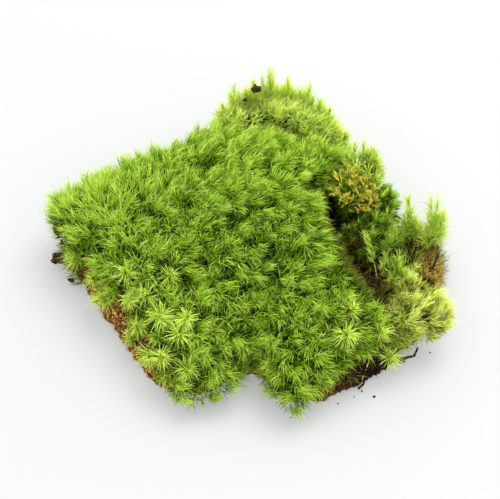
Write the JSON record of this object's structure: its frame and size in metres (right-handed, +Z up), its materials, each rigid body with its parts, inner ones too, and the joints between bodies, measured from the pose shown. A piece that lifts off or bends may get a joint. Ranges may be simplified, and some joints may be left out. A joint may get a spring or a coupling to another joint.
{
  "type": "moss clump",
  "caption": "Clump of broom moss cushions with a dark moss patch and a golden tuft, growing on a thin mat of brown duff that is cut flat underneath.",
  "frame": {"origin": "middle of the flat underside of the duff mat", "axes": "+Z up out of the ground through the moss, +X to the right and +Y to the back of the clump as pictured; X is its longest side and Z its shortest"},
  "size_m": [0.1882, 0.177, 0.0505],
  "materials": {
    "duff": "matte",
    "broom_moss": "matte",
    "pale_moss": "matte",
    "golden_moss": "matte",
    "dark_moss": "matte",
    "soil": "matte",
    "bark": "matte"
  },
  "bodies": {
    "root": {"duff_mat": "duff", "broom_moss_turf": "broom_moss", "broom_moss_back_ridge": "broom_moss", "broom_moss_back_tuft": "broom_moss", "broom_moss_gully_tuft": "broom_moss", "broom_moss_edge_tuft": "broom_moss", "broom_moss_tall_tuft": "broom_moss", "pale_moss_lobe": "pale_moss", "golden_moss_tuft": "golden_moss", "dark_green_moss_patch": "dark_moss", "soil_clod_left": "soil", "soil_crumb_left": "soil", "soil_clod_back": "soil", "soil_crumb_back": "soil", "twig_front": "bark", "twig_stub_front": "bark", "bark_sliver_right": "bark"}
  },
  "joints": []
}
